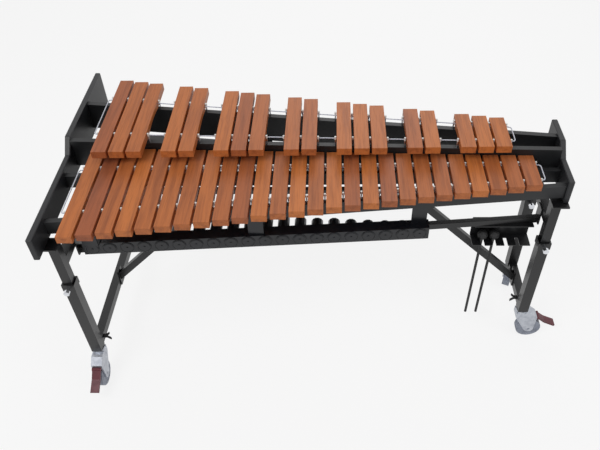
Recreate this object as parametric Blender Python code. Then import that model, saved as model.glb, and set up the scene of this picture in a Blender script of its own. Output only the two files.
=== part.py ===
"""Concert xylophone: two rows of wooden bars on cords, horizontal resonator
tubes, and a height-adjustable stand on four swivel casters.

Metres, +Z up.  The pieces are laid out in a keyboard frame: X runs along the
keys from the left edge of the lowest natural, Y runs away from the player and
Z = 0 is the top of the naturals.  The root empty then carries the whole
object so that the origin is on the floor, in the middle of the outline.
"""
import math

import bmesh
import bpy
from mathutils import Matrix, Vector

CLEAR = 0.0003

# Keyboard
NATURALS = 26
LETTERS = "FGABCDE"
LOWEST_NOTE = 65
BAR_PITCH = 0.045
BAR_WIDTH = 0.038
BAR_THICK = 0.020
BAR_ARCH = 0.007
ARCH_REACH = 0.30
ARCH_STEPS = 6
ACCIDENTAL_RISE = 0.0455
ACCIDENTAL_SHIFT = 0.0035

# Outlines of the two rows in plan: Y at X = 0, and slope
NATURAL_FRONT = (0.0380, 0.1600)
NATURAL_BACK = (0.3755, -0.0331)
ACCIDENTAL_FRONT = (0.3003, 0.0156)
ACCIDENTAL_BACK = (0.6444, -0.1876)

# Lines of the posts that carry the cords, in plan
NATURAL_POSTS_FRONT = (0.1304, 0.1007)
NATURAL_POSTS_BACK = (0.2993, 0.0128)
ACCIDENTAL_POSTS_FRONT = (0.3880, -0.0360)
ACCIDENTAL_POSTS_BACK = (0.5565, -0.1267)

# Rails, posts and cords
RAIL_THICK = 0.015
RAIL_BELOW_BAR = 0.008
NATURAL_RAIL_HEIGHT = 0.038
ACCIDENTAL_RAIL_HEIGHT = 0.0815
POST_RADIUS = 0.0020
POST_SINK = 0.004
POST_TIP_BELOW = 0.003
CORD_RADIUS = 0.00125
CORD_BELOW = 0.010
CORD_OVERRUN = 0.012
CORD_BEND = 0.008

# End boards
BOARD_THICK = 0.015
BOARD_BEVEL = 0.002
LEFT_MARGIN = 0.060
RIGHT_MARGIN = 0.072
BOARD_BOTTOM = -0.080
BOARD_STEP = 0.025
LEFT_FRONT = 0.041
LEFT_LOW_TOP = -0.012
LEFT_SLOPE_FROM = 0.360
LEFT_SLOPE_TO = 0.397
LEFT_BACK = 0.714
RIGHT_FRONT = 0.241
RIGHT_LOW_TOP = -0.009
RIGHT_SLOPE_FROM = 0.334
RIGHT_SLOPE_TO = 0.369
RIGHT_BACK = 0.462

# Telescopic legs
OUTER_TUBE = 0.030
INNER_TUBE = 0.025
COLLAR = 0.034
COLLAR_HEIGHT = 0.022
FLANGE_THICK = 0.0045
FLANGE_LENGTH = 0.044
OUTER_TOP = -0.220
OUTER_BOTTOM = -0.520
SOCKET_FLOOR = 0.012
INNER_BOTTOM = -0.500
LEG_Y = {"front_left": 0.096, "rear_left": 0.677,
         "front_right": 0.247, "rear_right": 0.425}

# Crossbars, beams and braces
UPPER_BAR_TOP = -0.1375
LOWER_BAR_TOP = -0.495
CROSSBAR = 0.025
BEAM_DEPTH = 0.015
FRONT_BEAM = (0.1761, 0.0930)
FRONT_BEAM_HEIGHT = 0.018
CENTRE_BEAM = (0.396, 0.0)
CENTRE_BEAM_TOP = -0.170
CENTRE_BEAM_HEIGHT = 0.015
END_PLATE = 0.004
END_PLATE_MARGIN = 0.008
BRACE_Y = 0.350
BRACE_DEPTH = 0.015
BRACE_WIDTH = 0.022
BRACE_FOOT = -0.500
BRACE_PLATE = 0.004

# Resonators
RESONATED = 20
SOUND_SPEED = 343.0
TUBE_CUT = 0.0025
TUBE_RADIUS = 0.016
TUBE_WALL = 0.0025
TUBE_SIDES = 12
BOX_DEPTH = 0.033
BOX_HEIGHT = 0.039
BOX_WALL = 0.006
BOX_MARGIN = 0.024
NATURAL_BOX = (0.150, 0.066)
NATURAL_BOX_Z = -0.1565
ACCIDENTAL_BOX_Z = -0.112
HANGER_WIDTH = 0.040
HANGER_THICK = 0.003
HANGER_UP = 0.020

# Mallet holder and mallets
SHELF_X = 1.034
SHELF_LENGTH = 0.160
SHELF_Y = 0.262
WEB_Y = 0.310
SHELF_Z = -0.260
SHEET = 0.003
SLOTS = 4
SLOT_PITCH = 0.032
SLOT_FIRST = 0.030
SLOT_WIDTH = 0.010
SLOT_BACK = 0.292
MALLET_SHAFT = 0.004
MALLET_HEAD = 0.015
MALLET_LENGTH = 0.330

# Casters
CASTER_HEIGHT = 0.120
WHEEL_RADIUS = 0.0375
WHEEL_WIDTH = 0.022
WHEEL_SIDES = 20
FORK_WIDTH = 0.032
FORK_SLOT = 0.0246
CASTER_TRAIL = 0.033
AXLE_RADIUS = 0.004
SWIVEL_RADIUS = 0.017
SWIVEL_HEIGHT = 0.008
PEDAL_WIDTH = 0.026
PEDAL_THICK = 0.005
PEDAL_BARREL = 0.005
HEADINGS = {"front_left": 0.0, "front_right": 90.0,
            "rear_right": 155.0, "rear_left": -90.0}

# Clamp screws and wing bolts
CLAMP_STEM = 0.004
CLAMP_STEM_LENGTH = 0.010
CLAMP_HEAD = 0.008
CLAMP_HEAD_LENGTH = 0.009
WING_HUB = 0.006
WING_SPAN = 0.034
WING_THICK = 0.004
WING_HEIGHT = 0.012
WING_OFFSET = 0.018

# Sizes that follow from the ones above
RAIL_DROP = BAR_THICK + RAIL_BELOW_BAR
LAST_EDGE = (NATURALS - 1) * BAR_PITCH + BAR_WIDTH
LEFT_IN = -LEFT_MARGIN
RIGHT_IN = LAST_EDGE + RIGHT_MARGIN
FLOOR = OUTER_BOTTOM - CASTER_HEIGHT
LEG_X = {"left": LEFT_IN + OUTER_TUBE / 2, "right": RIGHT_IN - OUTER_TUBE / 2}
GAP = BAR_PITCH - BAR_WIDTH
NATURAL_BOX_BOTTOM = NATURAL_BOX_Z - BOX_HEIGHT / 2


for old in list(bpy.data.objects):
    bpy.data.objects.remove(old, do_unlink=True)

ROOT = bpy.data.objects.new("xylophone", None)
bpy.context.scene.collection.objects.link(ROOT)


def material(name, colour, roughness, metallic=0.0):
    mat = bpy.data.materials.new(name)
    mat.use_nodes = True
    shader = mat.node_tree.nodes["Principled BSDF"]
    shader.inputs["Base Color"].default_value = (*colour, 1.0)
    shader.inputs["Roughness"].default_value = roughness
    shader.inputs["Metallic"].default_value = metallic
    return mat


PADAUK = material("padauk", (0.46, 0.17, 0.09), 0.42)
CHARCOAL = material("charcoal paint", (0.022, 0.023, 0.027), 0.5)
BLACK_TUBE = material("black steel tube", (0.018, 0.019, 0.022), 0.38)
RESONATOR = material("resonator enamel", (0.025, 0.027, 0.034), 0.35)
CHROME = material("chrome", (0.62, 0.63, 0.65), 0.18, 1.0)
CASTER_GREY = material("caster alloy", (0.42, 0.45, 0.50), 0.35, 0.6)
WHEEL_GREY = material("caster tread", (0.30, 0.32, 0.35), 0.6)
PEDAL_RED = material("pedal", (0.20, 0.02, 0.03), 0.45)
MALLET_BLACK = material("mallet", (0.02, 0.02, 0.02), 0.5)


def at(line, x):
    """Y of a plan line at X."""
    return line[0] + line[1] * x


def box(bm, x0, x1, y0, y1, z0, z1):
    prism_x(bm, [(y0, z0), (y1, z0), (y1, z1), (y0, z1)], x0, x1)


def loft(bm, first, second):
    """Closed solid between two outlines with as many corners each."""
    a = [bm.verts.new(p) for p in first]
    b = [bm.verts.new(p) for p in second]
    bm.faces.new(a)
    bm.faces.new(b)
    for i in range(len(a)):
        j = (i + 1) % len(a)
        bm.faces.new((a[i], a[j], b[j], b[i]))


def prism_x(bm, outline, x0, x1):
    loft(bm, [(x0, y, z) for y, z in outline], [(x1, y, z) for y, z in outline])


def prism_y(bm, outline, y0, y1):
    loft(bm, [(x, y0, z) for x, z in outline], [(x, y1, z) for x, z in outline])


def prism_z(bm, outline, z0, z1):
    loft(bm, [(x, y, z0) for x, y in outline], [(x, y, z1) for x, y in outline])


def skew_beam(bm, line, near, far, x0, x1, z0, z1):
    """Beam that follows a plan line and ends square to X."""
    ends = []
    for x in (x0, x1):
        y = at(line, x)
        ends.append([(x, y + near, z0), (x, y + far, z0),
                     (x, y + far, z1), (x, y + near, z1)])
    loft(bm, *ends)


def rod(bm, start, end, radius, sides, turn=0.0):
    """Round bar from start to end."""
    start, end = Vector(start), Vector(end)
    way = (end - start).to_track_quat("Z", "Y").to_matrix().to_4x4()
    spin = Matrix.Rotation(turn, 4, "Z")
    bmesh.ops.create_cone(
        bm, cap_ends=True, segments=sides, radius1=radius, radius2=radius,
        depth=(end - start).length,
        matrix=Matrix.Translation((start + end) / 2) @ way @ spin)


def sweep_loop(bm, points, radius, sides):
    """Closed tube along a level loop of points."""
    rings = []
    count = len(points)
    for i, here in enumerate(points):
        before, after = points[i - 1], points[(i + 1) % count]
        a = (here - before).normalized()
        b = (after - here).normalized()
        along = (a + b).normalized()
        side = Vector((-along.y, along.x, 0)) / max(0.3, along.dot(a))
        ring = []
        for k in range(sides):
            angle = 2 * math.pi * (k + 0.5) / sides
            ring.append(bm.verts.new(
                here + radius * (math.cos(angle) * side
                                 + math.sin(angle) * Vector((0, 0, 1)))))
        rings.append(ring)
    for i, ring in enumerate(rings):
        other = rings[(i + 1) % count]
        for k in range(sides):
            j = (k + 1) % sides
            bm.faces.new((ring[k], ring[j], other[j], other[k]))


def make(name, bm, mat, parent=None, place=(0, 0, 0), heading=0.0, smooth=35):
    bmesh.ops.recalc_face_normals(bm, faces=bm.faces)
    mesh = bpy.data.meshes.new(name)
    bm.to_mesh(mesh)
    bm.free()
    obj = bpy.data.objects.new(name, mesh)
    bpy.context.scene.collection.objects.link(obj)
    if mat is not None:
        mesh.materials.append(mat)
        mesh.shade_smooth()
        mesh.set_sharp_from_angle(angle=math.radians(smooth))
    obj.parent = parent or ROOT
    obj.location = place
    obj.rotation_euler = (0, 0, math.radians(heading))
    return obj


def join(obj, bm, operation="UNION"):
    """Add or cut the solids of bm with a Boolean modifier."""
    tool = make(obj.name + "_" + operation.lower(), bm, None, obj.parent,
                obj.location, math.degrees(obj.rotation_euler.z))
    tool.hide_render = True
    tool.display_type = "WIRE"
    modifier = obj.modifiers.new(operation.title(), "BOOLEAN")
    modifier.operation = operation
    modifier.solver = "EXACT"
    modifier.object = tool


def bevel(obj, width):
    modifier = obj.modifiers.new("Edges", "BEVEL")
    modifier.width = width
    modifier.segments = 1
    modifier.limit_method = "ANGLE"
    modifier.angle_limit = math.radians(30)


def has_sharp(key):
    """True where a black key follows the natural."""
    return key < NATURALS - 1 and LETTERS[key % 7] not in "BE"


def natural_x(key):
    return key * BAR_PITCH + BAR_WIDTH / 2


def sharp_x(key):
    return natural_x(key) + BAR_PITCH / 2 + ACCIDENTAL_SHIFT


def note(key):
    """Semitone number of a natural, counted up from the lowest."""
    steps = [1 if LETTERS[k % 7] in "BE" else 2 for k in range(key)]
    return LOWEST_NOTE + sum(steps)


def tube_length(semitone):
    pitch = 440.0 * 2 ** ((semitone - 69) / 12)
    return SOUND_SPEED / (4 * pitch) - TUBE_CUT


SHARPS = [key for key in range(NATURALS) if has_sharp(key)]


def bar(bm, x, front, back, top):
    """One bar: flat top, and an arch cut under its middle to tune it."""
    length = back - front
    low = top - BAR_THICK
    longest = at(NATURAL_BACK, 0) - at(NATURAL_FRONT, 0)
    depth = BAR_ARCH * length / longest
    outline = [(front, top), (back, top), (back, low)]
    for i in range(ARCH_STEPS + 1):
        t = i / ARCH_STEPS
        y = back - length * (ARCH_REACH + (1 - 2 * ARCH_REACH) * t)
        outline.append((y, low + depth * math.sin(math.pi * t)))
    outline.append((front, low))
    prism_x(bm, outline, x - BAR_WIDTH / 2, x + BAR_WIDTH / 2)


def cord_path(front, back, x0, x1, z):
    """Loop of cord that runs beside the posts, inside both rows of them."""
    off = POST_RADIUS + CORD_RADIUS + CLEAR
    corners = [(x0, at(front, x0) + off), (x1, at(front, x1) + off),
               (x1, at(back, x1) - off), (x0, at(back, x0) - off)]
    corners = [Vector((x, y, z)) for x, y in corners]
    points = []
    for i, corner in enumerate(corners):
        a = (corners[i - 1] - corner).normalized() * CORD_BEND
        b = (corners[(i + 1) % 4] - corner).normalized() * CORD_BEND
        for step in range(5):
            t = step / 4
            points.append(corner + a * (1 - t) ** 2 + b * t ** 2)
    return points


def bar_row(name, bars, front, back, posts, top):
    """A row of bars threaded on one loop of cord."""
    bm = bmesh.new()
    for x in bars:
        bar(bm, x, at(front, x), at(back, x), top)
    row = make(name, bm, PADAUK)
    cord = bmesh.new()
    spots = post_spots(bars)
    path = cord_path(*posts, spots[0] - CORD_OVERRUN,
                     spots[-1] + CORD_OVERRUN, top - CORD_BELOW)
    sweep_loop(cord, path, CORD_RADIUS, 6)
    join(row, cord)


def post_spots(bars):
    """A post stands on each side of every bar; neighbours share one."""
    spots = set()
    for x in bars:
        spots.add(round(x - BAR_PITCH / 2, 6))
        spots.add(round(x + BAR_PITCH / 2, 6))
    return sorted(spots)


def rail(name, line, bars, top, height):
    bm = bmesh.new()
    half = RAIL_THICK / 2
    upper = top - RAIL_DROP
    skew_beam(bm, line, -half, half, LEFT_IN + CLEAR, RIGHT_IN - CLEAR,
              upper - height, upper)
    piece = make(name, bm, CHARCOAL)
    posts = bmesh.new()
    for x in post_spots(bars):
        y = at(line, x)
        rod(posts, (x, y, upper - POST_SINK), (x, y, top - POST_TIP_BELOW),
            POST_RADIUS, 6)
    join(piece, posts)


def end_board(name, x0, x1, front, low, slope_from, slope_to, back):
    bm = bmesh.new()
    outline = [(front, BOARD_BOTTOM), (front, low), (slope_from, low),
               (slope_to, BOARD_STEP), (back, BOARD_STEP),
               (back, BOARD_BOTTOM)]
    prism_x(bm, outline, x0, x1)
    bevel(make(name, bm, CHARCOAL), BOARD_BEVEL)


def keyboard():
    naturals = [natural_x(key) for key in range(NATURALS)]
    sharps = [sharp_x(key) for key in SHARPS]
    bar_row("natural_bars", naturals, NATURAL_FRONT, NATURAL_BACK,
            (NATURAL_POSTS_FRONT, NATURAL_POSTS_BACK), 0.0)
    bar_row("accidental_bars", sharps, ACCIDENTAL_FRONT, ACCIDENTAL_BACK,
            (ACCIDENTAL_POSTS_FRONT, ACCIDENTAL_POSTS_BACK),
            ACCIDENTAL_RISE)
    rail("natural_front_rail", NATURAL_POSTS_FRONT, naturals, 0.0,
         NATURAL_RAIL_HEIGHT)
    rail("natural_rear_rail", NATURAL_POSTS_BACK, naturals, 0.0,
         NATURAL_RAIL_HEIGHT)
    rail("accidental_front_rail", ACCIDENTAL_POSTS_FRONT, sharps,
         ACCIDENTAL_RISE, ACCIDENTAL_RAIL_HEIGHT)
    rail("accidental_rear_rail", ACCIDENTAL_POSTS_BACK, sharps,
         ACCIDENTAL_RISE, ACCIDENTAL_RAIL_HEIGHT)
    end_board("end_board_left", LEFT_IN - BOARD_THICK, LEFT_IN, LEFT_FRONT,
              LEFT_LOW_TOP, LEFT_SLOPE_FROM, LEFT_SLOPE_TO, LEFT_BACK)
    end_board("end_board_right", RIGHT_IN, RIGHT_IN + BOARD_THICK,
              RIGHT_FRONT, RIGHT_LOW_TOP, RIGHT_SLOPE_FROM, RIGHT_SLOPE_TO,
              RIGHT_BACK)


def square(x, y, size):
    h = size / 2
    return [(x - h, y - h), (x + h, y - h), (x + h, y + h), (x - h, y + h)]


def leg(corner):
    """Inner tube with its flange under the end board, and outer tube."""
    side = corner.split("_")[1]
    x, y = LEG_X[side], LEG_Y[corner]
    inner_top = BOARD_BOTTOM - CLEAR - FLANGE_THICK
    bm = bmesh.new()
    prism_z(bm, square(x, y, INNER_TUBE), INNER_BOTTOM, inner_top + 0.001)
    inner = make("inner_leg_" + corner, bm, BLACK_TUBE)
    flange = bmesh.new()
    out = BOARD_THICK + (OUTER_TUBE - INNER_TUBE) / 2
    left = x - INNER_TUBE / 2 - (out if side == "left" else 0)
    right = x + INNER_TUBE / 2 + (out if side == "right" else 0)
    box(flange, left, right, y - FLANGE_LENGTH / 2, y + FLANGE_LENGTH / 2,
        inner_top, inner_top + FLANGE_THICK)
    join(inner, flange)
    bm = bmesh.new()
    prism_z(bm, square(x, y, OUTER_TUBE), OUTER_BOTTOM, OUTER_TOP)
    outer = make("outer_leg_" + corner, bm, BLACK_TUBE)
    collar = bmesh.new()
    prism_z(collar, square(x, y, COLLAR), OUTER_TOP - COLLAR_HEIGHT,
            OUTER_TOP + 0.001)
    join(outer, collar)
    bore = bmesh.new()
    prism_z(bore, square(x, y, INNER_TUBE + 2 * CLEAR),
            OUTER_BOTTOM + SOCKET_FLOOR, OUTER_TOP + 0.02)
    join(outer, bore, "DIFFERENCE")


def crossbars(side):
    x = LEG_X[side]
    front, rear = LEG_Y["front_" + side], LEG_Y["rear_" + side]
    inward = 1 if side == "left" else -1
    half = CROSSBAR / 2
    bm = bmesh.new()
    reach = INNER_TUBE / 2 + CLEAR
    box(bm, x - half, x + half, front + reach, rear - reach,
        UPPER_BAR_TOP - CROSSBAR, UPPER_BAR_TOP)
    make("upper_crossbar_" + side, bm, BLACK_TUBE)
    bm = bmesh.new()
    reach = OUTER_TUBE / 2 + CLEAR
    box(bm, x - half, x + half, front + reach, rear - reach,
        LOWER_BAR_TOP - CROSSBAR, LOWER_BAR_TOP)
    bar_low = make("lower_crossbar_" + side, bm, BLACK_TUBE)
    lug = bmesh.new()
    a, b = x + inward * (half - 0.001), x + inward * (half + BRACE_PLATE)
    lug_top = BRACE_FOOT + BRACE_WIDTH * math.sqrt(2) + 0.010
    box(lug, min(a, b), max(a, b), BRACE_Y - BRACE_DEPTH,
        BRACE_Y + BRACE_DEPTH, LOWER_BAR_TOP - CROSSBAR + 0.002, lug_top)
    join(bar_low, lug)


def beam(name, line, top, height):
    """Lengthwise beam whose end plates bolt to the upper crossbars."""
    x0 = LEG_X["left"] + CROSSBAR / 2 + CLEAR
    x1 = LEG_X["right"] - CROSSBAR / 2 - CLEAR
    bm = bmesh.new()
    skew_beam(bm, line, 0.0, BEAM_DEPTH, x0 + END_PLATE - 0.001,
              x1 - END_PLATE + 0.001, top - height, top)
    piece = make(name, bm, BLACK_TUBE)
    plates = bmesh.new()
    for a, b in ((x0, x0 + END_PLATE), (x1 - END_PLATE, x1)):
        y = at(line, (a + b) / 2)
        box(plates, a, b, y - END_PLATE_MARGIN,
            y + BEAM_DEPTH + END_PLATE_MARGIN, top - height - 0.0001,
            UPPER_BAR_TOP - 0.002)
    join(piece, plates)


def brace(side):
    """Diagonal from the lug of the lower crossbar up to the centre beam."""
    inward = 1 if side == "left" else -1
    foot_x = LEG_X[side] + inward * (CROSSBAR / 2 + BRACE_PLATE + CLEAR)
    rise = BRACE_WIDTH * math.sqrt(2)
    under = CENTRE_BEAM_TOP - CENTRE_BEAM_HEIGHT - CLEAR
    top = under - BRACE_PLATE / 2
    low_run = top - BRACE_FOOT
    high_run = top - (BRACE_FOOT + rise)
    outline = [(foot_x, BRACE_FOOT), (foot_x + inward * low_run, top),
               (foot_x + inward * high_run, top),
               (foot_x, BRACE_FOOT + rise)]
    bm = bmesh.new()
    prism_y(bm, outline, BRACE_Y - BRACE_DEPTH / 2, BRACE_Y + BRACE_DEPTH / 2)
    piece = make("brace_" + side, bm, BLACK_TUBE)
    plate = bmesh.new()
    a = foot_x + inward * (high_run - END_PLATE_MARGIN)
    b = foot_x + inward * (low_run + END_PLATE_MARGIN)
    box(plate, min(a, b), max(a, b),
        BRACE_Y - BRACE_DEPTH / 2 - 0.002,
        at(CENTRE_BEAM, a) + BEAM_DEPTH, under - BRACE_PLATE, under)
    join(piece, plate)


def bank(name, line, z, notes, direction, rail_line, rail_low):
    """Resonator box with one tube for each bar, hung from a rail."""
    xs = [x for x, _ in notes]
    x0, x1 = xs[0] - BOX_MARGIN, xs[-1] + BOX_MARGIN
    face = 0.0
    back = direction * BOX_DEPTH
    z0, z1 = z - BOX_HEIGHT / 2, z + BOX_HEIGHT / 2
    bm = bmesh.new()
    skew_beam(bm, line, min(face, back), max(face, back), x0, x1, z0, z1)
    piece = make(name, bm, RESONATOR)
    tubes, bores = bmesh.new(), bmesh.new()
    turn = math.pi / TUBE_SIDES
    for x, length in notes:
        y = at(line, x)
        tip = y + direction * length
        rod(tubes, (x, y + direction * BOX_DEPTH * 0.6, z), (x, tip, z),
            TUBE_RADIUS, TUBE_SIDES, turn)
        rod(bores, (x, y + direction * BOX_WALL, z),
            (x, tip + direction * 0.01, z), TUBE_RADIUS - TUBE_WALL,
            TUBE_SIDES, turn)
    join(piece, tubes)
    join(piece, bores, "DIFFERENCE")
    hangers = bmesh.new()
    for t in (0.03, 0.5, 0.97):
        x = x0 + (x1 - x0) * t
        slope = abs(rail_line[1]) * HANGER_WIDTH / 2
        y = at(rail_line, x) + RAIL_THICK / 2 + CLEAR + slope
        mid = at(line, x) + direction * BOX_DEPTH / 2
        outline = [(y, z1), (y, rail_low + HANGER_UP),
                   (y + HANGER_THICK, rail_low + HANGER_UP),
                   (y + HANGER_THICK, z1 + HANGER_THICK),
                   (max(mid, y + 2 * HANGER_THICK), z1 + HANGER_THICK),
                   (max(mid, y + 2 * HANGER_THICK), z1 - 0.001),
                   (y, z1 - 0.001)]
        outline.pop(0)
        prism_x(hangers, outline, x - HANGER_WIDTH / 2, x + HANGER_WIDTH / 2)
    join(piece, hangers)


def resonators():
    rail_low = -RAIL_DROP - NATURAL_RAIL_HEIGHT
    notes = [(natural_x(k), tube_length(note(k))) for k in range(RESONATED)]
    bank("natural_resonators", NATURAL_BOX, NATURAL_BOX_Z, notes, 1,
         NATURAL_POSTS_FRONT, rail_low)
    rail_low = ACCIDENTAL_RISE - RAIL_DROP - ACCIDENTAL_RAIL_HEIGHT
    notes = [(sharp_x(k), tube_length(note(k) + 1))
             for k in SHARPS if k < RESONATED - 1]
    face = (ACCIDENTAL_POSTS_BACK[0] + BOX_DEPTH / 2,
            ACCIDENTAL_POSTS_BACK[1])
    bank("accidental_resonators", face, ACCIDENTAL_BOX_Z, notes, -1,
         ACCIDENTAL_POSTS_BACK, rail_low)


def slot_x(number):
    return SHELF_X + SLOT_FIRST + number * SLOT_PITCH


def mallet_set():
    """Folded shelf under the front beam, with two mallets in its slots."""
    x0, x1 = SHELF_X, SHELF_X + SHELF_LENGTH
    top = NATURAL_BOX_BOTTOM - CLEAR - FRONT_BEAM_HEIGHT - CLEAR
    beam_y = at(FRONT_BEAM, x0)
    outline = [(beam_y, top), (beam_y, top - SHEET), (WEB_Y - SHEET,
               top - SHEET), (WEB_Y - SHEET, SHELF_Z + SHEET),
               (SHELF_Y, SHELF_Z + SHEET), (SHELF_Y, SHELF_Z),
               (WEB_Y, SHELF_Z), (WEB_Y, top)]
    bm = bmesh.new()
    prism_x(bm, outline, x0, x1)
    holder = make("mallet_holder", bm, CHARCOAL)
    slots = bmesh.new()
    for number in range(SLOTS):
        x = slot_x(number)
        half = SLOT_WIDTH / 2
        box(slots, x - half, x + half, SHELF_Y - 0.01, SLOT_BACK,
            SHELF_Z - 0.01, SHELF_Z + 2 * SHEET)
    join(holder, slots, "DIFFERENCE")
    rest = SHELF_Z + SHEET + CLEAR
    y = SLOT_BACK - MALLET_SHAFT - CLEAR
    for number in range(2):
        bm = bmesh.new()
        rod(bm, (0, 0, -MALLET_LENGTH), (0, 0, MALLET_HEAD), MALLET_SHAFT, 8)
        mallet = make("mallet_%d" % (number + 1), bm, MALLET_BLACK, None,
                      (slot_x(number), y, rest))
        head = bmesh.new()
        bmesh.ops.create_uvsphere(
            head, u_segments=12, v_segments=8, radius=MALLET_HEAD,
            matrix=Matrix.Translation((0, 0, MALLET_HEAD)))
        join(mallet, head)


def caster(corner):
    """Swivel fork, wheel with its axle, and brake pedal."""
    side = corner.split("_")[1]
    place = (LEG_X[side], LEG_Y[corner], OUTER_BOTTOM - CLEAR)
    heading = HEADINGS[corner]
    pivot = bpy.data.objects.new("swivel_" + corner, None)
    bpy.context.scene.collection.objects.link(pivot)
    pivot.parent = ROOT
    pivot.location = place
    pivot.rotation_euler = (0, 0, math.radians(heading))
    axle_z = WHEEL_RADIUS - CASTER_HEIGHT + CLEAR
    trail = -CASTER_TRAIL
    boss = trail - 0.0155
    outline = [(0.016, -SWIVEL_HEIGHT + 0.001), (0.016, -0.026),
               (trail + 0.014, axle_z - 0.004), (trail + 0.007, axle_z - 0.012),
               (trail - 0.007, axle_z - 0.012), (trail - 0.014, axle_z - 0.004),
               (boss, -0.042), (boss, -0.024),
               (trail + 0.004, -SWIVEL_HEIGHT + 0.001)]
    bm = bmesh.new()
    prism_x(bm, outline, -FORK_WIDTH / 2, FORK_WIDTH / 2)
    fork = make("caster_fork_" + corner, bm, CASTER_GREY, pivot)
    swivel = bmesh.new()
    rod(swivel, (0, 0, -SWIVEL_HEIGHT), (0, 0, 0), SWIVEL_RADIUS, 16)
    join(fork, swivel)
    cut = bmesh.new()
    half = FORK_SLOT / 2
    box(cut, -half, half, -0.2, 0.2, -0.2, axle_z + WHEEL_RADIUS + 0.003)
    join(fork, cut, "DIFFERENCE")
    hole = bmesh.new()
    rod(hole, (-0.05, trail, axle_z), (0.05, trail, axle_z),
        AXLE_RADIUS + CLEAR, 12)
    join(fork, hole, "DIFFERENCE")
    bm = bmesh.new()
    rod(bm, (-WHEEL_WIDTH / 2, 0, 0), (WHEEL_WIDTH / 2, 0, 0), WHEEL_RADIUS,
        WHEEL_SIDES)
    wheel = make("caster_wheel_" + corner, bm, WHEEL_GREY, pivot,
                 (0, trail, axle_z))
    axle = bmesh.new()
    rod(axle, (-FORK_WIDTH / 2, 0, 0), (FORK_WIDTH / 2, 0, 0), AXLE_RADIUS, 12)
    join(wheel, axle)
    hinge = (boss - PEDAL_BARREL - CLEAR, -0.033)
    t = PEDAL_THICK
    outline = [(0, -0.003), (-0.022, -0.022), (-0.055, -0.039),
               (-0.058, -0.039 + t), (-0.024, -0.022 + t), (0, 0.003)]
    bm = bmesh.new()
    half = PEDAL_WIDTH / 2
    rod(bm, (-half, 0, 0), (half, 0, 0), PEDAL_BARREL, 12)
    pedal = make("brake_pedal_" + corner, bm, PEDAL_RED, pivot,
                 (0, hinge[0], hinge[1]))
    plate = bmesh.new()
    prism_x(plate, outline, -half + 0.0005, half - 0.0005)
    join(pedal, plate)


def clamp_screw(corner):
    """Screw that holds the inner leg tube at its height."""
    side = corner.split("_")[1]
    bm = bmesh.new()
    rod(bm, (0, 0, 0), (0, -CLAMP_STEM_LENGTH - 0.001, 0), CLAMP_STEM, 10)
    screw = make("clamp_screw_" + corner, bm, CHROME, None,
                 (LEG_X[side], LEG_Y[corner] - COLLAR / 2 - CLEAR,
                  OUTER_TOP - COLLAR_HEIGHT / 2))
    head = bmesh.new()
    rod(head, (0, -CLAMP_STEM_LENGTH, 0),
        (0, -CLAMP_STEM_LENGTH - CLAMP_HEAD_LENGTH, 0), CLAMP_HEAD, 12)
    join(screw, head)


def wing_bolt(corner):
    """Wing bolt through the end of the lower crossbar."""
    level, side = corner.split("_")
    inward = 1 if side == "left" else -1
    step = 1 if level == "front" else -1
    x = LEG_X[side] + inward * (CROSSBAR / 2 + CLEAR)
    y = LEG_Y[corner] + step * (OUTER_TUBE / 2 + WING_OFFSET)
    bm = bmesh.new()
    rod(bm, (0, 0, 0), (inward * WING_HEIGHT * 0.7, 0, 0), WING_HUB, 12)
    bolt = make("wing_bolt_" + corner, bm, MALLET_BLACK, None,
                (x, y, LOWER_BAR_TOP - CROSSBAR / 2))
    wing = bmesh.new()
    near, far = inward * WING_HEIGHT * 0.35, inward * WING_HEIGHT * 1.5
    half = WING_SPAN / 2
    outline = [(near, -WING_HUB * 0.8), (far, -half), (far, -half * 0.55),
               (near * 1.9, 0), (far, half * 0.55), (far, half),
               (near, WING_HUB * 0.8)]
    prism_y(wing, outline, -WING_THICK / 2, WING_THICK / 2)
    join(bolt, wing)


def stand():
    for corner in LEG_Y:
        leg(corner)
        caster(corner)
        clamp_screw(corner)
        wing_bolt(corner)
    for side in LEG_X:
        crossbars(side)
        brace(side)
    beam("front_beam", FRONT_BEAM, NATURAL_BOX_BOTTOM - CLEAR,
         FRONT_BEAM_HEIGHT)
    beam("centre_beam", CENTRE_BEAM, CENTRE_BEAM_TOP, CENTRE_BEAM_HEIGHT)


def stand_on_origin():
    """Move the root so that the outline is centred over the origin."""
    bpy.context.view_layer.update()
    graph = bpy.context.evaluated_depsgraph_get()
    low, high = Vector((9, 9, 9)), Vector((-9, -9, -9))
    for obj in bpy.data.objects:
        if obj.type != "MESH" or obj.hide_render:
            continue
        done = obj.evaluated_get(graph)
        for vertex in done.data.vertices:
            point = done.matrix_world @ vertex.co
            low = Vector(map(min, low, point))
            high = Vector(map(max, high, point))
    middle = (low + high) / 2
    ROOT.location = (-middle.x, -middle.y, -low.z)
    bpy.context.view_layer.update()


keyboard()
resonators()
mallet_set()
stand()
stand_on_origin()
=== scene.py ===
# %% [markdown]
# # A concert xylophone, dressed in materials
# The solid parts come in as a fixed frame: bars, rails, legs, casters.
# This script gives each one its finish and adds the fine pieces, such as
# the cord's braid, the white tips of the posts and the resonators' plugs.

# %% Load the frame
import math

import bmesh
import bpy
from mathutils import Matrix, Vector


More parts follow.
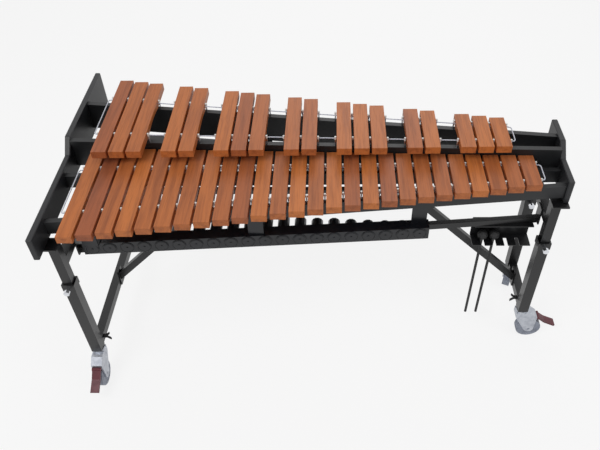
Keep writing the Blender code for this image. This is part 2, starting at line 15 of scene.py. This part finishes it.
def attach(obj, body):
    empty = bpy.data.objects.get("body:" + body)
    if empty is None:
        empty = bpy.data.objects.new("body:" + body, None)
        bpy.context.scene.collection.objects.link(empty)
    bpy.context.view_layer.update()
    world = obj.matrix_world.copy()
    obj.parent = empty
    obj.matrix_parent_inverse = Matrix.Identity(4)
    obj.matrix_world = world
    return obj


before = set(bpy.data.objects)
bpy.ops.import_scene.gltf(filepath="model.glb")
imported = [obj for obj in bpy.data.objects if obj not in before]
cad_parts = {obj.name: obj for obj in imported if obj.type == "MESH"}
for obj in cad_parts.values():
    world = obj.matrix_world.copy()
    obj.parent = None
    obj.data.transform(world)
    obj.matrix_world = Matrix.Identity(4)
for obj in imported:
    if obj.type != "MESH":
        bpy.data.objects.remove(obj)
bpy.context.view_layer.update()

# %% [markdown]
# Everything on the keyboard follows a few sizes: the pitch of the bars, and
# the straight lines in plan that the ends of the bars and the posts follow.
# They are measured in the keyboard's own frame, whose corner is the left
# edge of the lowest bar; SHIFT carries a point from there to the model.

# %% Sizes of the keyboard
SHIFT = Vector((-0.5875, -0.3491, 0.640))
PITCH, WIDTH, RISE = 0.045, 0.038, 0.0455
SHARP_SHIFT = 0.0035    # accidentals stand this far past the gap's middle
LETTERS = "FGABCDE"
POSTS_NATURAL = ((0.1304, 0.1007), (0.2993, 0.0128))
POSTS_SHARP = ((0.3880, -0.0360), (0.5565, -0.1267))
RAIL_DROP = 0.028
SHARPS = [k for k in range(25) if LETTERS[k % 7] not in "BE"]


def natural_x(key):
    return key * PITCH + WIDTH / 2


def sharp_x(key):
    return natural_x(key) + PITCH / 2 + SHARP_SHIFT


def on_line(line, x):
    return line[0] + line[1] * x


NATURAL_XS = [natural_x(k) for k in range(26)]
SHARP_XS = [sharp_x(k) for k in SHARPS]
print("naturals:", len(NATURAL_XS), "accidentals:", len(SHARP_XS))

# %% [markdown]
# ## Camera
# The camera stands where the photograph was taken: about 1.7 m up, in front
# of the middle of the keys, looking down by 45 degrees with a slight tilt.
# A camera's matrix is easiest to write as its own right, up and back.

# %% Camera
SENSOR = 36.0
PHOTO_WIDTH, FOCAL, OFF_CENTRE = 600.0, 651.4, -12.9    # all in pixels
STAND = (0.0626, -1.3491, 1.7091)
PITCH_DOWN, YAW, ROLL = (math.radians(a) for a in (44.63, -2.67, 1.90))
forward = Vector((math.sin(YAW) * math.cos(PITCH_DOWN),
                  math.cos(YAW) * math.cos(PITCH_DOWN),
                  -math.sin(PITCH_DOWN)))
right = Vector((math.cos(YAW), -math.sin(YAW), 0))
down = forward.cross(right)
image_right = right * math.cos(ROLL) + down * math.sin(ROLL)
image_down = down * math.cos(ROLL) - right * math.sin(ROLL)
camera_data = bpy.data.cameras.new("camera")
camera = bpy.data.objects.new("camera", camera_data)
bpy.context.scene.collection.objects.link(camera)
turn = Matrix((image_right, -image_down, -forward)).transposed().to_4x4()
camera.matrix_world = Matrix.Translation(STAND) @ turn
camera_data.sensor_width = SENSOR
camera_data.lens = SENSOR * FOCAL / PHOTO_WIDTH
camera_data.shift_x = OFF_CENTRE / PHOTO_WIDTH
bpy.context.scene.camera = camera
print("lens: %.1f mm" % camera_data.lens)

# %% [markdown]
# ## Shader helpers
# Maths on a surface is easier to read as an expression than as a tangle of
# nodes.  Field wraps one output socket, and its operators add Math nodes.
# Finish is a material with one method that adds any other node.

# %% Shader helpers


class Field:
    """A value or colour that varies over a surface."""

    def __init__(self, tree, socket):
        self.tree, self.socket = tree, socket

    def math(self, operation, other=0.0, swap=False):
        node = self.tree.nodes.new("ShaderNodeMath")
        node.operation = operation
        ends = (other, self) if swap else (self, other)
        for slot, end in zip(node.inputs, ends):
            if isinstance(end, Field):
                self.tree.links.new(end.socket, slot)
            else:
                slot.default_value = end
        return Field(self.tree, node.outputs[0])

    def __add__(self, other): return self.math("ADD", other)
    def __sub__(self, other): return self.math("SUBTRACT", other)
    def __mul__(self, other): return self.math("MULTIPLY", other)
    def __truediv__(self, other): return self.math("DIVIDE", other)
    def __radd__(self, other): return self.math("ADD", other)
    def __rsub__(self, other): return self.math("SUBTRACT", other, True)
    def above(self, level): return self.math("GREATER_THAN", level)
    def floor(self): return self.math("FLOOR")

    def clamp(self):
        return self.math("MAXIMUM", 0.0).math("MINIMUM", 1.0)


class Finish:
    """A material whose Principled shader is fed by fields."""

    def __init__(self, name, **fixed):
        self.material = bpy.data.materials.new(name)
        self.material.use_nodes = True
        self.tree = self.material.node_tree
        self.shader = self.tree.nodes["Principled BSDF"]
        for key, value in fixed.items():
            self.shader.inputs[key.replace("_", " ")].default_value = value
        coords = self.tree.nodes.new("ShaderNodeTexCoord")
        self.place = Field(self.tree, coords.outputs["Object"])
        apart = self.node("ShaderNodeSeparateXYZ", {}, Vector=self.place)
        self.x, self.y, self.z = (self.out(apart, c) for c in "XYZ")

    def node(self, kind, settings, **inputs):
        node = self.tree.nodes.new(kind)
        for key, value in settings.items():
            setattr(node, key, value)
        for key, value in inputs.items():
            self.plug(node.inputs[key.replace("_", " ")], value)
        return node

    def plug(self, slot, value):
        if isinstance(value, Field):
            self.tree.links.new(value.socket, slot)
        else:
            slot.default_value = value

    def out(self, node, name):
        return Field(self.tree, node.outputs[name])

    def feed(self, **inputs):
        for key, value in inputs.items():
            self.plug(self.shader.inputs[key.replace("_", " ")], value)

    def blend(self, factor, a, b):
        node = self.tree.nodes.new("ShaderNodeMix")
        node.data_type = "RGBA"
        self.plug(node.inputs[0], factor)
        self.plug(node.inputs[6], a)
        self.plug(node.inputs[7], b)
        return Field(self.tree, node.outputs[2])

    def noise(self, scale, stretch=(1, 1, 1), detail=4.0, rough=0.5):
        mapping = self.node("ShaderNodeMapping", {}, Vector=self.place)
        mapping.inputs["Scale"].default_value = stretch
        texture = self.node("ShaderNodeTexNoise", {},
                            Vector=self.out(mapping, "Vector"), Scale=scale,
                            Detail=detail, Roughness=rough)
        return self.out(texture, "Fac")

    def bump(self, height, depth):
        node = self.node("ShaderNodeBump", {}, Height=height)
        node.inputs["Distance"].default_value = depth
        node.inputs["Strength"].default_value = 0.6
        self.feed(Normal=self.out(node, "Normal"))


def rgb(red, green, blue):
    """A colour as it looks on screen, turned to the light it stands for."""
    out = []
    for part in (red, green, blue):
        part = part / 255
        out.append(part / 12.92 if part <= 0.04045
                   else ((part + 0.055) / 1.055) ** 2.4)
    return (*out, 1.0)


print("helpers ready")

# %% [markdown]
# ## Padauk bars
# Each bar is cut from its own plank, so each has its own tone, from orange
# to a duller red.  The grain runs along the bar.  The number of a bar comes
# from X and the pitch, and gives each bar its tone through White Noise.

# %% Padauk


EDGE_MARGIN = 0.0035    # half of the gap between two bars


def padauk(name, first_edge, seed):
    wood = Finish(name, Roughness=0.45, Specular_IOR_Level=0.4)
    along = wood.x - (SHIFT.x + first_edge - EDGE_MARGIN)
    number = (along / PITCH).floor() + seed
    toss = wood.node("ShaderNodeTexWhiteNoise", {"noise_dimensions": "1D"},
                     W=number)
    tone = wood.out(toss, "Value")
    lean = ((wood.x + 0.6) / 1.2).clamp()
    grain = wood.noise(5.0, (14, 0.9, 14), 5.0, 0.6)
    fine = wood.noise(40.0, (10, 0.35, 10), 3.0, 0.6)
    base = wood.blend((tone * 0.85 + lean * 0.25).clamp(),
                      rgb(160, 88, 52), rgb(204, 120, 58))
    dark = wood.blend((tone * 0.6 + 0.2).clamp(), rgb(90, 44, 27),
                      rgb(138, 70, 34))
    veins = ((grain - 0.46) * 3.2).clamp()
    colour = wood.blend(veins * 0.75, base, dark)
    colour = wood.blend(((fine - 0.52) * 4.0).clamp() * 0.50, colour, dark)
    wood.feed(Base_Color=colour, Roughness=0.36 + fine * 0.22)
    wood.bump(fine, 0.0002)
    return wood.material


PADAUK_NATURAL = padauk("padauk naturals", 0.0, 3.0)
PADAUK_SHARP = padauk("padauk accidentals", 0.026, 71.0)
print("wood:", PADAUK_NATURAL.name, PADAUK_SHARP.name)

# %% [markdown]
# ## Paint, steel and chrome
# The stand is black, yet no two blacks on it are alike: the boards have a
# satin paint over wood, the tubes a semi-gloss coat, and the resonators a
# bluish enamel.  Slow noise in the roughness keeps large faces from looking
# like plastic, and a fine noise gives the paint its orange peel.

# %% Black finishes


def paint(name, dark, light, rough, spread, peel, scale=900.0):
    coat = Finish(name)
    cloud = coat.noise(6.0, detail=3.0)
    fine = coat.noise(scale, detail=2.0)
    coat.feed(Base_Color=coat.blend(((cloud - 0.35) * 2.5).clamp(),
                                    rgb(*dark), rgb(*light)),
              Roughness=rough + (cloud - 0.5) * spread)
    coat.bump(fine, peel)
    return coat


BOARD = paint("board paint", (13, 14, 17), (21, 22, 26), 0.48, 0.20,
              0.00012).material
TUBE = paint("tube enamel", (8, 8, 10), (15, 15, 17), 0.34, 0.16,
             0.00004).material
BANK = paint("resonator enamel", (11, 13, 19), (19, 22, 30), 0.32, 0.18,
             0.00003).material
SHELF = paint("shelf paint", (13, 13, 15), (21, 22, 25), 0.42, 0.15,
              0.00005).material
RUBBER = paint("mallet rubber", (16, 16, 17), (24, 24, 26), 0.6, 0.1,
               0.00008).material


def rail_paint(name, rail_top):
    """Black rail below, bright steel posts above its top face."""
    coat = paint(name, (10, 11, 13), (18, 19, 22), 0.46, 0.2, 0.0001)
    bare = coat.z.above(rail_top + 0.0004)
    scratch = coat.noise(300.0, (1, 1, 6), 2.0)
    painted = coat.shader.inputs["Base Color"].links[0].from_socket
    rough = coat.shader.inputs["Roughness"].links[0].from_socket
    rough = Field(coat.tree, rough)
    coat.feed(Base_Color=coat.blend(bare, Field(coat.tree, painted),
                                    rgb(205, 207, 212)),
              Roughness=rough * (1 - bare) + bare * (0.2 + scratch * 0.2),
              Metallic=bare)
    return coat.material


RAIL_NATURAL = rail_paint("natural rail", SHIFT.z - RAIL_DROP)
RAIL_SHARP = rail_paint("accidental rail", SHIFT.z + RISE - RAIL_DROP)
print("blacks ready")

# %% [markdown]
# The clamp screws are chrome, and the casters are a pale grey alloy
# with a grey tread and a dark red brake pedal.

# %% Bright finishes


def metal(name, colour, worn, rough, metallic):
    coat = Finish(name, Metallic=metallic)
    cloud = coat.noise(60.0, detail=4.0)
    fine = coat.noise(500.0, detail=2.0)
    coat.feed(Base_Color=coat.blend(((cloud - 0.4) * 3.0).clamp(),
                                    rgb(*colour), rgb(*worn)),
              Roughness=rough + cloud * 0.18)
    coat.bump(fine, 0.00003)
    return coat.material


CHROME = metal("chrome", (222, 224, 228), (196, 198, 204), 0.08, 1.0)
ALLOY = metal("caster alloy", (196, 200, 208), (168, 172, 182), 0.28, 0.55)
TREAD = metal("caster tread", (150, 156, 170), (122, 128, 142), 0.45, 0.0)
PEDAL = metal("pedal plastic", (92, 20, 34), (76, 16, 28), 0.35, 0.0)
WHITE = metal("white sleeve", (236, 236, 232), (222, 222, 220), 0.35, 0.0)
print("bright finishes ready")

# %% [markdown]
# ## Dress the solid parts
# A node keeps its shape and only gets a material.  The first word or two of
# its name say which.

# %% Materials on the frame's nodes
DRESS = [("natural_bars", PADAUK_NATURAL), ("accidental_bars", PADAUK_SHARP),
         ("natural_front_rail", RAIL_NATURAL),
         ("natural_rear_rail", RAIL_NATURAL),
         ("accidental_front_rail", RAIL_SHARP),
         ("accidental_rear_rail", RAIL_SHARP), ("end_board", BOARD),
         ("natural_resonators", BANK), ("accidental_resonators", BANK),
         ("clamp_screw", CHROME), ("caster_fork", ALLOY),
         ("caster_wheel", TREAD), ("brake_pedal", PEDAL),
         ("mallet_holder", SHELF), ("mallet", RUBBER),
         ("wing_bolt", RUBBER), ("", TUBE)]
for name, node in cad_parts.items():
    finish = next(mat for start, mat in DRESS if name.startswith(start))
    node.data.materials.clear()
    node.data.materials.append(finish)
print("dressed", len(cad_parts), "nodes")

# %% [markdown]
# ## Geometry Nodes for what repeats
# Over a hundred posts carry a white plastic sleeve, and each resonator shows
# a round plug on the front of the box.  Both are one small shape on many
# points, which Instance on Points makes; Realize Instances then turns the
# copies into real mesh.

# %% Helpers for repeated pieces


def new_tree(name, sizes):
    tree = bpy.data.node_groups.new(name, "GeometryNodeTree")
    face = tree.interface
    face.new_socket("Points", in_out="INPUT", socket_type="NodeSocketGeometry")
    for label in sizes:
        face.new_socket(label, in_out="INPUT", socket_type="NodeSocketFloat")
    face.new_socket("Mesh", in_out="OUTPUT",
                    socket_type="NodeSocketGeometry")
    return tree


def add(tree, kind, settings=None, **inputs):
    node = tree.nodes.new(kind)
    for key, value in (settings or {}).items():
        setattr(node, key, value)
    for key, value in inputs.items():
        slot = node.inputs[key.replace("_", " ")]
        if isinstance(value, bpy.types.NodeSocket):
            tree.links.new(value, slot)
        else:
            slot.default_value = value
    return node


def grow(name, tree, points, sizes, material):
    """Runs a tree on loose points and keeps the result as a plain mesh."""
    cloud = bpy.data.meshes.new(name + " points")
    cloud.from_pydata([tuple(p) for p in points], [], [])
    seed = bpy.data.objects.new(name, cloud)
    bpy.context.scene.collection.objects.link(seed)
    modifier = seed.modifiers.new("Nodes", "NODES")
    modifier.node_group = tree
    for item in tree.interface.items_tree:
        if item.in_out == "INPUT" and item.name in sizes:
            modifier[item.identifier] = sizes[item.name]
    graph = bpy.context.evaluated_depsgraph_get()
    graph.update()
    mesh = bpy.data.meshes.new_from_object(seed.evaluated_get(graph))
    seed.modifiers.remove(modifier)
    seed.data = mesh
    if not mesh.materials:
        mesh.materials.append(material)
    print(name, "faces:", len(mesh.polygons))
    return seed


def finish_tree(tree, shape, group_in, material, turn=(0, 0, 0)):
    copies = add(tree, "GeometryNodeInstanceOnPoints",
                 Points=group_in.outputs["Points"], Instance=shape,
                 Rotation=turn)
    real = add(tree, "GeometryNodeRealizeInstances",
               Geometry=copies.outputs[0])
    paint_it = add(tree, "GeometryNodeSetMaterial",
                   Geometry=real.outputs[0], Material=material)
    out = tree.nodes.new("NodeGroupOutput")
    tree.links.new(paint_it.outputs[0], out.inputs["Mesh"])


print("repeat helpers ready")

# %% [markdown]
# A sleeve is a short ten-sided cylinder, a little wider than the
# post.  It covers the top of the post, level with the bar beside it.

# %% White sleeves of the posts
SLEEVE_RADIUS, SLEEVE_HEIGHT = 0.0027, 0.0085
SLEEVE_DROP = 0.0065    # its middle, below the top of the bars
sleeves = new_tree("sleeve", ["Radius", "Height"])
start = sleeves.nodes.new("NodeGroupInput")
barrel = add(sleeves, "GeometryNodeMeshCylinder", {"fill_type": "NGON"},
             Vertices=10, Radius=start.outputs["Radius"],
             Depth=start.outputs["Height"])
finish_tree(sleeves, barrel.outputs["Mesh"], start, WHITE)


def post_xs(xs):
    spots = set()
    for x in xs:
        spots |= {round(x - PITCH / 2, 5), round(x + PITCH / 2, 5)}
    return sorted(spots)


tips = []
for xs, lines, top in ((NATURAL_XS, POSTS_NATURAL, 0.0),
                       (SHARP_XS, POSTS_SHARP, RISE)):
    for line in lines:
        tips += [Vector((x, on_line(line, x), top - SLEEVE_DROP))
                 + SHIFT
                 for x in post_xs(xs)]
tip_piece = grow("post_sleeves", sleeves, tips,
                 {"Radius": SLEEVE_RADIUS, "Height": SLEEVE_HEIGHT}, WHITE)
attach(tip_piece, "frame")
print("sleeves:", len(tips))

# %% [markdown]
# ## Plugs of the resonators
# The box shows one disc per tube: a raised ring, a flat plug inside it, and
# a small screw.

# %% Plugs
BOX_FRONT = (0.150, 0.066)    # the line of the front face, as for the posts
PLUG_COUNT, PLUG_Z, PLUG_PROUD = 20, -0.1565, 0.0006
RING_RADIUS, RING_THICK = 0.0175, 0.0011
DISC_RADIUS, DISC_THICK = 0.0155, 0.0016
SCREW_RADIUS, SCREW_LENGTH = 0.0028, 0.0042
plugs = new_tree("plug", ["Ring radius", "Ring thickness"])
start = plugs.nodes.new("NodeGroupInput")
circle = add(plugs, "GeometryNodeCurvePrimitiveCircle", {"mode": "RADIUS"},
             Resolution=32, Radius=start.outputs["Ring radius"])
profile = add(plugs, "GeometryNodeCurvePrimitiveCircle", {"mode": "RADIUS"},
              Resolution=8, Radius=start.outputs["Ring thickness"])
ring = add(plugs, "GeometryNodeCurveToMesh", Curve=circle.outputs["Curve"],
           Profile_Curve=profile.outputs["Curve"])
disc = add(plugs, "GeometryNodeMeshCylinder", {"fill_type": "NGON"},
           Vertices=32, Radius=DISC_RADIUS, Depth=DISC_THICK)
screw = add(plugs, "GeometryNodeMeshCylinder", {"fill_type": "NGON"},
            Vertices=12, Radius=SCREW_RADIUS, Depth=SCREW_LENGTH)
pile = plugs.nodes.new("GeometryNodeJoinGeometry")
for part in (ring, disc, screw):
    plugs.links.new(part.outputs["Mesh"], pile.inputs[0])
finish_tree(plugs, pile.outputs[0], start, BANK,
            (math.radians(90), 0, math.atan(BOX_FRONT[1])))
spots = [Vector((natural_x(k),
                 on_line(BOX_FRONT, natural_x(k)) - PLUG_PROUD,
                 PLUG_Z)) + SHIFT for k in range(PLUG_COUNT)]
plug_piece = grow("resonator_plugs", plugs, spots,
                  {"Ring radius": RING_RADIUS,
                   "Ring thickness": RING_THICK}, BANK)
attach(plug_piece, "frame")
print("plugs:", len(spots))

# %% [markdown]
# ## Braided cord
# One cord runs through each row of bars and round its end.  Its sheath is
# white with a blue fleck.  The tube is swept along the same loop as the
# solid cord, a hair thicker, and carries its own UVs: the length of cord
# along it in U, and the way round in V.

# %% Cord
BRAID_COUNT = 260.0    # strands crossed in a metre of cord
FULL_TURN = 6.2832
POST_RADIUS, CORD_RADIUS, CLEARANCE = 0.0020, 0.00125, 0.0003
BRAID_RADIUS, BEND = 0.0015, 0.008
BEND_STEPS, SIDES = 8, 10
OVERRUN, CORD_BELOW = 0.012, 0.010
braid = Finish("braided cord", Roughness=0.75)
uv = braid.node("ShaderNodeUVMap", {"uv_map": "braid"})
split = braid.node("ShaderNodeSeparateXYZ", {}, Vector=braid.out(uv, "UV"))
u, v = braid.out(split, "X"), braid.out(split, "Y")
left = ((u * BRAID_COUNT + v) * FULL_TURN).math("SINE")
right_turn = ((u * BRAID_COUNT - v) * FULL_TURN).math("SINE")
weave = left * right_turn
fleck = (left + right_turn * 0.6).above(0.85)
braid.feed(Base_Color=braid.blend(fleck, rgb(222, 226, 234),
                                  rgb(58, 84, 150)))
braid.bump(weave, 0.0003)


def cord_piece(name, lines, x0, x1, z):
    off = POST_RADIUS + CORD_RADIUS + CLEARANCE
    corners = [(x0, on_line(lines[0], x0) + off),
               (x1, on_line(lines[0], x1) + off),
               (x1, on_line(lines[1], x1) - off),
               (x0, on_line(lines[1], x0) - off)]
    corners = [Vector((x, y, z)) + SHIFT for x, y in corners]
    points = []
    for i, corner in enumerate(corners):
        a = (corners[i - 1] - corner).normalized() * BEND
        b = (corners[(i + 1) % 4] - corner).normalized() * BEND
        for step in range(BEND_STEPS + 1):
            t = step / BEND_STEPS
            points.append(corner + a * (1 - t) ** 2 + b * t ** 2)
    bm = bmesh.new()
    layer = bm.loops.layers.uv.new("braid")
    rings, run, total = [], [0.0], 0.0
    count = len(points)
    for i, here in enumerate(points):
        a = (here - points[i - 1]).normalized()
        b = (points[(i + 1) % count] - here).normalized()
        along = (a + b).normalized()
        side = Vector((-along.y, along.x, 0))
        rings.append([bm.verts.new(
            here + BRAID_RADIUS * (math.cos(w) * side + math.sin(w)
                             * Vector((0, 0, 1))))
            for w in (math.tau * k / SIDES for k in range(SIDES))])
        total += (points[(i + 1) % count] - here).length
        run.append(total)
    for i, ring_now in enumerate(rings):
        other = rings[(i + 1) % count]
        for k in range(SIDES):
            j = (k + 1) % SIDES
            face = bm.faces.new((ring_now[k], other[k], other[j],
                                 ring_now[j]))
            low, high = k / SIDES, (k + 1) / SIDES
            uvs = ((run[i], low), (run[i + 1], low),
                   (run[i + 1], high), (run[i], high))
            for loop, where in zip(face.loops, uvs):
                loop[layer].uv = where
    bmesh.ops.recalc_face_normals(bm, faces=bm.faces)
    mesh = bpy.data.meshes.new(name)
    bm.to_mesh(mesh)
    bm.free()
    mesh.shade_smooth()
    mesh.materials.append(braid.material)
    piece = bpy.data.objects.new(name, mesh)
    bpy.context.scene.collection.objects.link(piece)
    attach(piece, "frame")
    print(name, "length: %.2f m" % total)


spots = post_xs(NATURAL_XS)
cord_piece("cord_naturals", POSTS_NATURAL, spots[0] - OVERRUN,
           spots[-1] + OVERRUN, -CORD_BELOW)
spots = post_xs(SHARP_XS)
cord_piece("cord_accidentals", POSTS_SHARP, spots[0] - OVERRUN,
           spots[-1] + OVERRUN, RISE - CORD_BELOW)

# %% [markdown]
# ## Floor and light
# A pale floor, and three round lamps: one from the front left,
# one from the right and one from behind.
# The camera sees the floor a little whiter than it is, through Light Path,
# so the black parts keep their contrast and the shadow stays.

# %% Floor


def backdrop_white(tree, surface, share):
    """The camera and mirrors see the surface partly as plain white."""
    path = tree.nodes.new("ShaderNodeLightPath")
    either = tree.nodes.new("ShaderNodeMath")
    either.operation = "MAXIMUM"
    tree.links.new(path.outputs["Is Camera Ray"], either.inputs[0])
    tree.links.new(path.outputs["Is Glossy Ray"], either.inputs[1])
    more = tree.nodes.new("ShaderNodeMath")
    more.operation = "MAXIMUM"
    tree.links.new(either.outputs[0], more.inputs[0])
    tree.links.new(path.outputs["Is Transmission Ray"], more.inputs[1])
    amount = tree.nodes.new("ShaderNodeMath")
    amount.operation = "MULTIPLY"
    amount.inputs[1].default_value = share
    tree.links.new(more.outputs[0], amount.inputs[0])
    white = tree.nodes.new("ShaderNodeEmission")
    mix = tree.nodes.new("ShaderNodeMixShader")
    tree.links.new(amount.outputs[0], mix.inputs[0])
    tree.links.new(surface, mix.inputs[1])
    tree.links.new(white.outputs[0], mix.inputs[2])
    return mix.outputs[0]


FLOOR_WHITE, SKY_WHITE, SKY_STRENGTH = 0.82, 1.0, 0.40
FLOOR_HALF, FLOOR_DROP = 12.0, 0.0005
floor_paper = Finish("floor paper", Base_Color=(0.86, 0.86, 0.86, 1),
                     Roughness=0.9)
tree = floor_paper.tree
exit_node = tree.nodes["Material Output"]
tree.links.new(backdrop_white(tree, floor_paper.shader.outputs[0],
                              FLOOR_WHITE),
               exit_node.inputs["Surface"])
bm = bmesh.new()
bmesh.ops.create_grid(bm, x_segments=1, y_segments=1,
                       size=FLOOR_HALF)
mesh = bpy.data.meshes.new("floor")
bm.to_mesh(mesh)
bm.free()
floor = bpy.data.objects.new("floor", mesh)
mesh.materials.append(floor_paper.material)
bpy.context.scene.collection.objects.link(floor)
floor.location.z = -FLOOR_DROP
print("floor:", floor.name)

# %% Light
world = bpy.data.worlds.new("studio")
bpy.context.scene.world = world
world.use_nodes = True
sky = world.node_tree
soft = sky.nodes["Background"]
soft.inputs["Color"].default_value = (1, 1, 1, 1)
soft.inputs["Strength"].default_value = SKY_STRENGTH
sky.links.new(backdrop_white(sky, soft.outputs[0], SKY_WHITE),
              sky.nodes["World Output"].inputs["Surface"])


def lamp(name, place, aim, size, watts):
    data = bpy.data.lights.new(name, "AREA")
    data.shape = "DISK"
    data.size = size
    data.energy = watts
    light = bpy.data.objects.new(name, data)
    bpy.context.scene.collection.objects.link(light)
    light.location = place
    way = Vector(aim) - Vector(place)
    light.rotation_euler = way.to_track_quat("-Z", "Y").to_euler()
    print(name, watts, "W")


lamp("key", (-1.4, -1.6, 3.0), (0, 0, 0.5), 1.6, 32.0)
lamp("fill", (2.2, -1.2, 2.2), (0, 0, 0.5), 2.0, 14.0)
lamp("rim", (0.3, 2.6, 2.4), (0, 0, 0.5), 1.8, 16.0)
bpy.context.scene.view_settings.view_transform = "Standard"

# %% The end
print("done")
